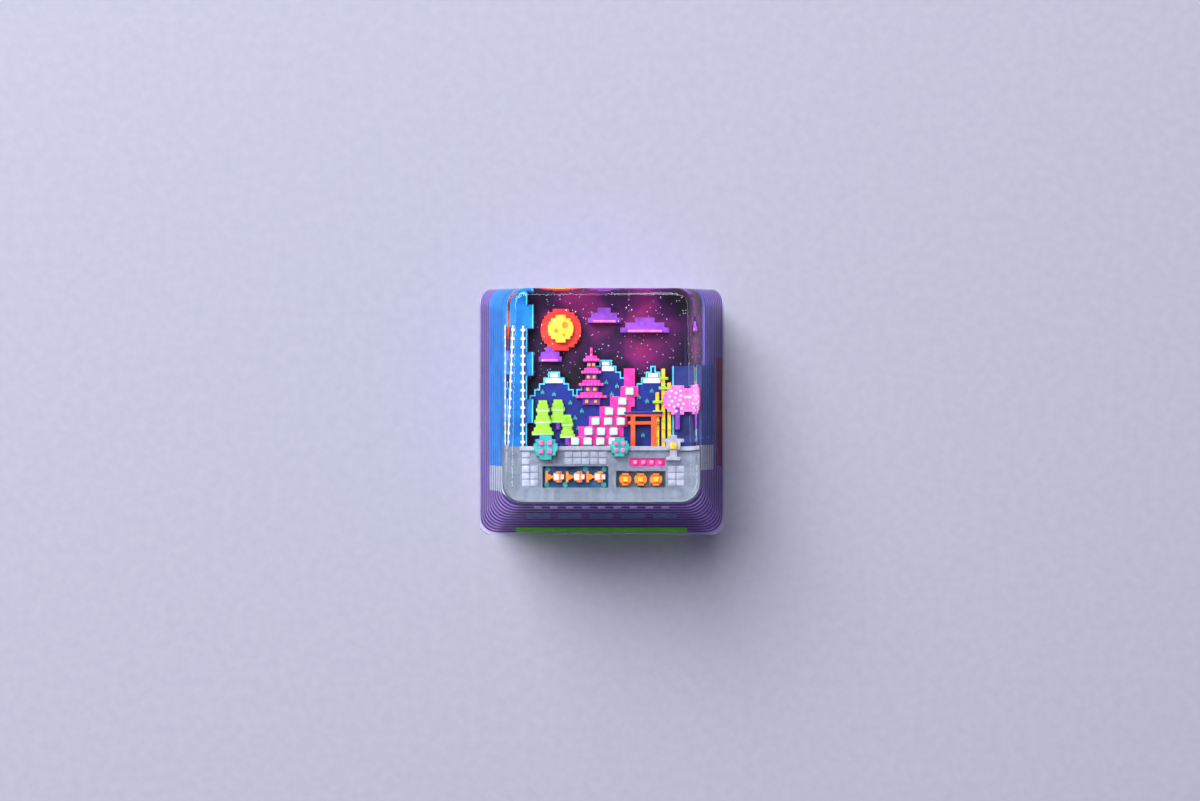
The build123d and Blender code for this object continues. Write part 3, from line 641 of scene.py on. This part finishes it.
# Peaks: snow on the top rows, inside the ridge lines
snow = {
    "height": 0.1, "edge": 0.03,
    # left, right, front and back of each
    "caps": [
        (-3.80, -3.20, 2.62, 2.92), (-4.14, -2.86, 2.20, 2.58),
        (0.02, 0.58, 3.46, 3.74), (0.02, 0.92, 3.06, 3.42),
        (3.42, 4.18, 2.62, 2.92), (3.08, 4.34, 2.20, 2.58),
    ],
}
peakTop = boxOf("mountains")[1][2]
lay("snow_caps", [
    (
        block(right - left, back - front, snow["height"], snow["edge"]),
        [((left + right) / 2, (front + back) / 2, peakTop - sink)],
    )
    for left, right, front, back in snow["caps"]
], "white_resin")

# Pagoda: tile ribs on each roof
roofs = {
    "middle": -0.75, "foot": 0.624, "rise": 0.88, "wall": 0.48, "taper": 0.8, "tiers": 4,
    "rib": (0.09, 0.16, 0.08, 0.02), "ribAt": 0.1, "ribPitch": 0.34, "ribsAside": 3,
}
roofTop = middleOf("pagoda_roofs")[2]
ribs = []
for tier in range(roofs["tiers"]):
    pitch = roofs["ribPitch"] * roofs["taper"] ** tier
    y = roofs["foot"] + tier * roofs["rise"] + roofs["wall"] + roofs["ribAt"]
    for k in range(-roofs["ribsAside"], roofs["ribsAside"] + 1):
        ribs.append((roofs["middle"] + k * pitch, y, roofTop))
lay("roof_ribs", [(block(*roofs["rib"]), ribs)], "pink_resin")

# Gate: dark cap along the top beam
gateCap = {"longer": 0.16, "section": (0.16, 0.12, 0.03), "belowTop": 0.09}
low, high = boxOf("gate")
capPlace = ((low[0] + high[0]) / 2, high[1] - gateCap["belowTop"], high[2] - sink)
lay("gate_cap", [
    (block(high[0] - low[0] + gateCap["longer"], *gateCap["section"]), [capPlace]),
], "navy_resin")

# Paper lamps: hoops across the paper
paperLamps = {"pitch": 1.12, "hoop": (0.7, 0.06, 0.07, 0.02), "hoopAside": 0.27}
lampX, lampY, lampTop = middleOf("paper_lamps")
hoops = []
for k in (-1, 0, 1):
    for side in (-1, 1):
        hoops.append((lampX + k * paperLamps["pitch"], lampY + side * paperLamps["hoopAside"], lampTop))
lay("lamp_hoops", [(block(*paperLamps["hoop"]), hoops)], "red_resin")

# Terrace: paving slabs, laid clear of the shrubs and the sunk beds
paving = {
    "slab": (0.56, 0.44, 0.08, 0.03), "pitchX": 0.62, "pitchY": 0.5,
    "columns": 13, "rows": 2, "left": -5.5, "front": -3.45, "right": 1.7,
    "shrubs": [(-4.05, 1.2), (1.3, 1.0)],  # place and reach
    "endColumns": (-5.5, -4.88, 5.1, 5.72), "endRows": 3, "endBack": -4.0,
}
slabTop = middleOf("stone_terrace")[2]
slabs = []
for column in range(paving["columns"]):
    x = paving["left"] + column * paving["pitchX"]
    isClear = all(abs(x - shrub) > reach for shrub, reach in paving["shrubs"])
    for row in range(paving["rows"]):
        if isClear and x < paving["right"]:
            slabs.append((x, paving["front"] + row * paving["pitchY"], slabTop))
for row in range(paving["endRows"]):
    slabs += [(x, paving["endBack"] - row * paving["pitchY"], slabTop) for x in paving["endColumns"]]
lay("paving_slabs", [(block(*paving["slab"]), slabs)], "pale_grey_resin")

# Flower bed: a yellow eye in each flower
eyes = {"flowers": 4, "pitch": 0.6, "eye": (0.11, 0.11, 0.07, 0.02)}
bedX, bedY, flowerTop = middleOf("bed_flowers")
lay("flower_eyes", [
    (block(*eyes["eye"]), [
        (bedX + (k - (eyes["flowers"] - 1) / 2) * eyes["pitch"], bedY, flowerTop)
        for k in range(eyes["flowers"])
    ]),
], "yellow_resin")

# Moon: round spots on its face
moon = {
    "spots": [(0.3, 0.28, 0.22), (-0.35, -0.12, 0.15), (0.22, -0.42, 0.11)],  # place and radius
    "sides": 14, "height": 0.07, "edge": 0.015,
}
moonX, moonY, moonTop = middleOf("moon_face")
lay("moon_spots", [
    (disc(moon["sides"], radius, moon["height"], moon["edge"]), [(moonX + x, moonY + y, moonTop)])
    for x, y, radius in moon["spots"]
], "orange_resin")

# Cherry: loose petals on the crown, in a spiral from its middle
petals = {"petal": (5, 0.1, 0.07, 0.015), "count": 16, "turn": 2.4, "reach": 0.78, "spin": 3, "seed": 11}
luck = random.Random(petals["seed"])
low, high = boxOf("cherry_crown")
crownX, crownY, crownTop = middleOf("cherry_crown")
crownRadius = (high[1] - low[1]) / 2
places = []
for k in range(petals["count"]):
    turn = k * petals["turn"]
    out = crownRadius * petals["reach"] * math.sqrt((k + 0.5) / petals["count"])
    spin = (0, 0, luck.uniform(0, petals["spin"]))
    places.append((crownX + out * math.cos(turn), crownY + out * math.sin(turn), crownTop, spin))
lay("cherry_petals", [(disc(*petals["petal"]), places)], "white_resin")

# River: pale threads of current between the stones
current = {
    "rows": 6, "row": 0.72, "sourceX": 2.05, "drift": 0.52, "source": 1.3, "growth": 0.5, "top": 7.12,
    "thread": (0.46, 0.06, 0.06, 0.02), "aside": 0.55, "belowRow": 0.02,
}
riverFoot = boxOf("river")[0][1]
threads = []
for row in range(current["rows"]):
    x = current["sourceX"] - current["drift"] * row
    y = riverFoot + (current["rows"] - row) * current["row"] - current["belowRow"]
    half = (current["source"] + current["growth"] * row) / 2
    threads += [(x + side * half * current["aside"], y, current["top"] - sink) for side in (-1, 1)]
lay("river_threads", [(block(*current["thread"]), threads)], "pink_resin")

# Pines: a lighter bough along the foot of each tier
boughs = {
    "tier": 0.84, "taper": 0.78, "trunk": 0.5, "aboveFoot": 0.08, "shorter": 0.2,
    "section": (0.07, 0.07, 0.02),
    # place, foot, width, tiers and thickness of each tree
    "trees": [(-4.3, 0.3, 1.6, 3, 0.75), (-3.2, 1.2, 1.3, 2, 0.4), (-2.5, 0.1, 1.1, 2, 0.6)],
}
terraceBack = boxOf("coping")[1][1]
tiers = []
for x, foot, width, count, thickness in boughs["trees"]:
    for tier in range(count):
        y = terraceBack + foot + boughs["trunk"] + tier * boughs["tier"] + boughs["aboveFoot"]
        span = width * boughs["taper"] ** tier - boughs["shorter"]
        tiers.append((block(span, *boughs["section"]), [(x, y, peakTop + thickness - sink)]))
lay("pine_boughs", tiers, "mint_resin")

# Meadow: tufts of grass on the banks
grass = {
    "blade": (0.08, 0.2, 0.12, 0.02), "bladeAside": 0.09, "tip": (0.08, 0.26, 0.14, 0.02), "tipAbove": 0.09,
    "tufts": [
        (-4.6, -1.4), (-3.75, -1.9), (-1.75, -1.1), (-1.95, -0.35), (-1.45, 0.15), (-2.3, 0.75),
        (-3.5, 1.35), (-4.35, 1.5), (0.75, 1.35), (0.35, 2.2), (1.15, 1.95), (3.35, 0.85), (3.7, 1.6),
        (2.75, 1.15), (3.05, -1.6),
    ],
}
blades = [
    (x + side * grass["bladeAside"], y, peakTop - sink) for x, y in grass["tufts"] for side in (-1, 1)
]
tips = [(x, y + grass["tipAbove"], peakTop - sink) for x, y in grass["tufts"]]
lay("grass_tufts", [(block(*grass["blade"]), blades), (block(*grass["tip"]), tips)], "teal_resin")

# Glitter: fine flakes that hang in the clear resin over the sky and in the right wall
flakes = {
    "flake": (6, 0.05, 0.02, 0.004), "spin": 3, "seed": 5,
    "overSky": 26, "skyX": (-4.4, 4.6), "skyY": (3.6, 7.6), "skyZ": (7.7, 9.3),
    "inWall": 8, "wallFoot": 8.55, "wallLean": 0.235, "wallY": (-6, 6), "wallZ": (1.5, 7.5),
}
luck = random.Random(flakes["seed"])


def tumble():
    return [luck.uniform(0, flakes["spin"]) for _ in range(3)]


places = []
for _ in range(flakes["overSky"]):
    x = luck.uniform(*flakes["skyX"])
    y = luck.uniform(*flakes["skyY"])
    z = luck.uniform(*flakes["skyZ"])
    places.append((x, y, z, tumble()))
for z in [luck.uniform(*flakes["wallZ"]) for _ in range(flakes["inWall"])]:
    x = flakes["wallFoot"] - flakes["wallLean"] * z
    y = luck.uniform(*flakes["wallY"])
    places.append((x, y, z, tumble()))
lay("glitter_flakes", [(disc(*flakes["flake"]), places)], "white_resin")

# Floor: uncoated paper, matt, with a fine pressed grain; its size is in metres
paper = {
    "size": 2.0, "drop": 0.02, "colours": [(0.3, "CDCEE5"), (0.7, "D3D4E9")],
    "fibre": 0.7, "fibreDetail": 2.0, "fibreHeight": 0.012, "fibreStrength": 0.6,
    "roughness": 0.9, "specular": 0.1,
}
bpy.ops.mesh.primitive_plane_add(size=paper["size"], location=(0, 0, -paper["drop"] * mm))
floor = bpy.context.object
floor.name = "floor"
floor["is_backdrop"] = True
material, tree, shader = newMaterial("palePaper")
place = addNode(tree, "ShaderNodeTexCoord").outputs["Object"]
fibre = addNode(
    tree, "ShaderNodeTexNoise", {"Scale": 1 / (paper["fibre"] * mm), "Detail": paper["fibreDetail"]},
    {"Vector": place},
).outputs["Fac"]
colour = addNode(tree, "ShaderNodeValToRGB", links={"Fac": fibre}, stops=paper["colours"])
bump = addNode(
    tree, "ShaderNodeBump", {"Strength": paper["fibreStrength"], "Distance": paper["fibreHeight"] * mm},
    {"Height": fibre},
)
tree.links.new(colour.outputs[0], shader.inputs["Base Color"])
tree.links.new(bump.outputs[0], shader.inputs["Normal"])
shader.inputs["Roughness"].default_value = paper["roughness"]
shader.inputs["Specular IOR Level"].default_value = paper["specular"]
floor.data.materials.append(material)

# Lamps, in metres: a softbox at the upper left, and strips overhead that only draw bright lines along the
# rounded edge. Each: direction, distance, width, height, watts, and whether it also lights what is matt
lamps = {
    "softbox": ((-0.65, 0.97, 0.94), 0.55, 0.42, 0.42, 4.5, True),
    "leftStrip": ((-0.47, 0.0, 0.88), 0.5, 0.5, 0.12, 1.2, False),
    "backStrip": ((0.0, 0.47, 0.88), 0.5, 0.5, 0.12, 1.2, False),
    "rightStrip": ((0.47, 0.0, 0.88), 0.5, 0.5, 0.12, 0.5, False),
}
for name, (direction, distance, width, height, watts, lightsMatt) in lamps.items():
    length = math.sqrt(sum(c * c for c in direction))
    bpy.ops.object.light_add(type="AREA", location=[c / length * distance for c in direction])
    light = bpy.context.object
    light.name = light.data.name = name
    light.data.energy = watts
    light.data.shape = "RECTANGLE"
    light.data.size = width
    light.data.size_y = height
    light.rotation_euler = light.location.to_track_quat("Z", "Y").to_euler()
    light.visible_diffuse = lightsMatt

# World: faint even light, pale to the camera and in reflections, dark overhead as a studio ceiling is
studio = {
    "colour": "E4D8FA", "light": 0.13, "shown": 0.9,
    "ceiling": 0.1, "ceilingFrom": 0.78, "ceilingTo": 0.95,  # its share of the light, and where it begins
}
world = bpy.data.worlds.new("studio")
bpy.context.scene.world = world
world.use_nodes = True
tree = world.node_tree
tree.nodes.clear()
rays = addNode(tree, "ShaderNodeLightPath")
seen = addNode(
    tree, "ShaderNodeMath", links={0: rays.outputs["Is Camera Ray"], 1: rays.outputs["Is Glossy Ray"]},
    operation="ADD",
)
seen = addNode(
    tree, "ShaderNodeMath", links={0: seen.outputs[0], 1: rays.outputs["Is Transmission Ray"]},
    operation="ADD", use_clamp=True,
)
strength = addNode(
    tree, "ShaderNodeMapRange", {"To Min": studio["light"], "To Max": studio["shown"]},
    {"Value": seen.outputs[0]},
)
way = addNode(tree, "ShaderNodeTexCoord").outputs["Generated"]
up = addNode(tree, "ShaderNodeSeparateXYZ", links={0: way}).outputs["Z"]
ceiling = addNode(
    tree, "ShaderNodeMapRange",
    {
        "From Min": studio["ceilingFrom"], "From Max": studio["ceilingTo"],
        "To Min": 1.0, "To Max": studio["ceiling"],
    },
    {"Value": up}, interpolation_type="SMOOTHSTEP",
)
level = addNode(
    tree, "ShaderNodeMath", links={0: strength.outputs[0], 1: ceiling.outputs[0]}, operation="MULTIPLY"
)
glow = addNode(
    tree, "ShaderNodeBackground", {"Color": linearColour(studio["colour"])}, {"Strength": level.outputs[0]}
)
addNode(tree, "ShaderNodeOutputWorld", links={"Surface": glow.outputs[0]})

# Camera straight above; its nearest distance is in metres
camera = {"lens": 120.0, "sensor": 36.0, "frameWidth": 88.65, "aimX": -0.11, "aimY": 0.85, "nearest": 0.01}
distance = camera["lens"] / camera["sensor"] * camera["frameWidth"]
bpy.ops.object.camera_add(
    location=(camera["aimX"] * mm, camera["aimY"] * mm, distance * mm), rotation=(0, 0, 0)
)
view = bpy.context.object
view.data.lens = camera["lens"]
view.data.sensor_width = camera["sensor"]
view.data.clip_start = camera["nearest"]
bpy.context.scene.camera = view
bpy.context.scene.view_settings.view_transform = "Standard"
print("stage ready")

low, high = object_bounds()
